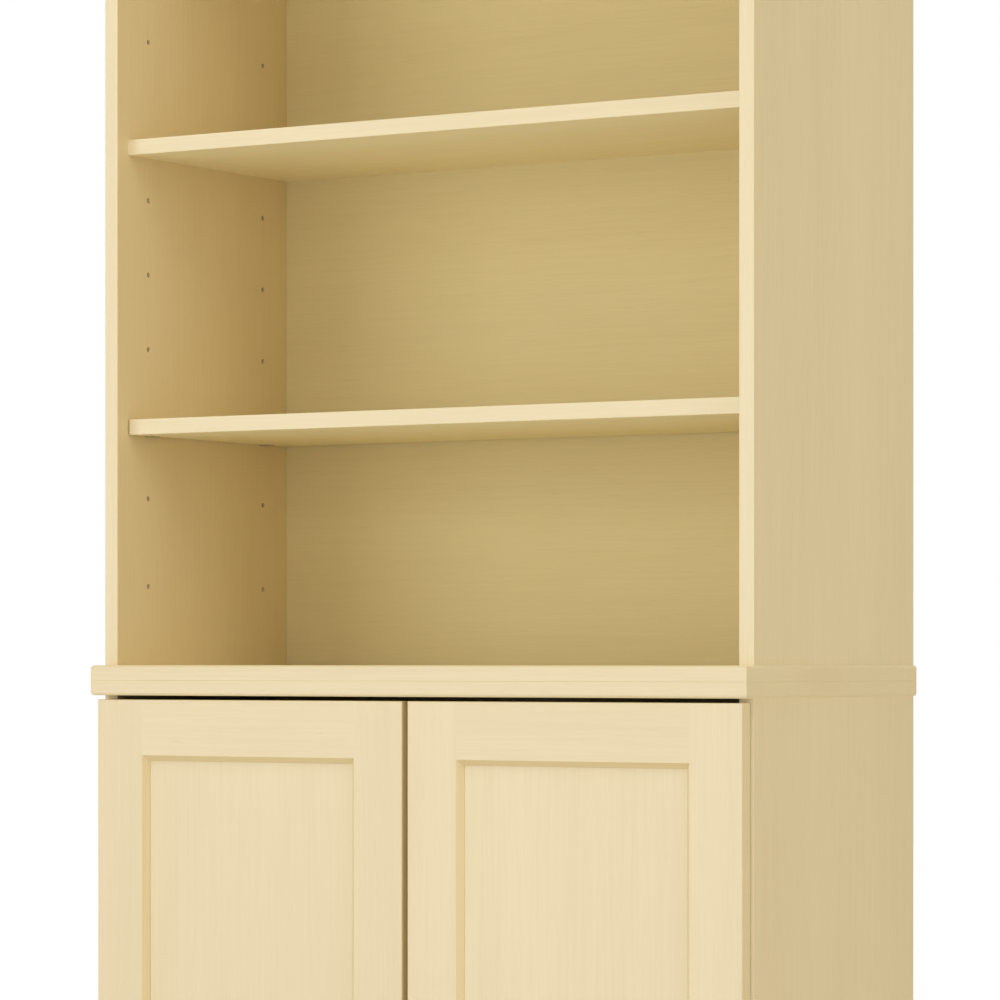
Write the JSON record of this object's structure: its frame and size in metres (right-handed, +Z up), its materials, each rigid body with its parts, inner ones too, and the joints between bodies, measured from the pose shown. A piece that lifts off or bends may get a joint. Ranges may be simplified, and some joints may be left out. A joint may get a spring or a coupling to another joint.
{
  "type": "bookcase with cabinet doors",
  "caption": "Tall two-piece bookcase: open shelves over a base cabinet with framed flat-panel doors, in pale wood-grain board.",
  "frame": {"origin": "on the floor, at the centre of the footprint box of the closed piece", "axes": "+Z up, +X to the right seen from the front, -Y towards the front where the doors are"},
  "size_m": [0.7228, 0.354, 1.854],
  "materials": {
    "board": "pale wood-grain foil on particleboard, satin",
    "back_panel": "thin panel with printed wood-grain paper, satin",
    "door_wood": "pale wood-grain foil, satin",
    "dowel_wood": "plain beech",
    "knob_metal": "satin nickel",
    "hinge_metal": "nickel plated",
    "fastener_steel": "zinc plated",
    "cam_zinc": "die-cast zinc, dull",
    "support_metal": "nickel plated, satin",
    "bracket_metal": "zinc plated",
    "glide_plastic": "dark brown",
    "bumper_plastic": "clear soft pad"
  },
  "bodies": {
    "case": {"hutch_left_side": "board", "hutch_right_side": "board", "top_board": "board", "hutch_base_board": "board", "fixed_shelf": "board", "cabinet_left_side": "board", "cabinet_right_side": "board", "cabinet_top_board": "board", "cabinet_bottom_board": "board", "plinth_front_board": "board", "plinth_rear_rail": "board", "cabinet_back_rail": "board", "hutch_back_rail": "board", "cabinet_shelf": "board", "hutch_back_panel": "back_panel", "cabinet_back_panel": "back_panel", "wood_dowels": "dowel_wood", "hinge_arms": "hinge_metal", "hinge_pins": "hinge_metal", "hinge_plates": "hinge_metal", "cam_bolts": "fastener_steel", "base_board_screws": "fastener_steel", "stacking_bolts": "fastener_steel", "hinge_plate_screws": "fastener_steel", "wall_bracket_screws": "fastener_steel", "cam_locks": "cam_zinc", "hutch_shelf_supports": "support_metal", "cabinet_shelf_supports": "support_metal", "wall_bracket": "bracket_metal", "floor_glides": "glide_plastic"},
    "left_door": {"left_outer_stile": "door_wood", "left_meeting_stile": "door_wood", "left_top_rail": "door_wood", "left_bottom_rail": "door_wood", "left_door_panel": "door_wood", "left_knob": "knob_metal", "left_knob_screw": "fastener_steel", "left_hinge_cups": "hinge_metal", "left_cup_screws": "fastener_steel", "left_door_bumpers": "bumper_plastic"},
    "right_door": {"right_outer_stile": "door_wood", "right_meeting_stile": "door_wood", "right_top_rail": "door_wood", "right_bottom_rail": "door_wood", "right_door_panel": "door_wood", "right_knob": "knob_metal", "right_knob_screw": "fastener_steel", "right_hinge_cups": "hinge_metal", "right_cup_screws": "fastener_steel", "right_door_bumpers": "bumper_plastic"},
    "left_links": {"left_hinge_links": "hinge_metal"},
    "right_links": {"right_hinge_links": "hinge_metal"},
    "lower_loose_shelf": {"low_shelf": "board"},
    "upper_loose_shelf": {"high_shelf": "board"}
  },
  "joints": [
    {"name": "left_door_hinge", "type": "hinge", "parent": "case", "child": "left_door", "pos_m": [-0.35225, -0.1455, 0.3845], "axis": [0, 0, -1], "range_deg": [0, 95]},
    {"name": "right_door_hinge", "type": "hinge", "parent": "case", "child": "right_door", "pos_m": [0.35225, -0.1455, 0.3845], "axis": [0, 0, 1], "range_deg": [0, 95]},
    {"name": "left_link_pivot", "type": "hinge", "parent": "case", "child": "left_links", "pos_m": [-0.33775, -0.1432, 0.385], "axis": [0, 0, -1], "range_deg": [0, 126]},
    {"name": "right_link_pivot", "type": "hinge", "parent": "case", "child": "right_links", "pos_m": [0.33775, -0.1432, 0.385], "axis": [0, 0, 1], "range_deg": [0, 126]},
    {"name": "lower_shelf_slide", "type": "slide", "parent": "case", "child": "lower_loose_shelf", "axis": [0, -1, 0], "range_m": [0, 0.1]},
    {"name": "upper_shelf_slide", "type": "slide", "parent": "case", "child": "upper_loose_shelf", "axis": [0, -1, 0], "range_m": [0, 0.1]}
  ],
  "couplings": [
    {"joint": "left_link_pivot", "follows": "left_door_hinge", "ratio": 1.318},
    {"joint": "right_link_pivot", "follows": "right_door_hinge", "ratio": 1.318}
  ]
}
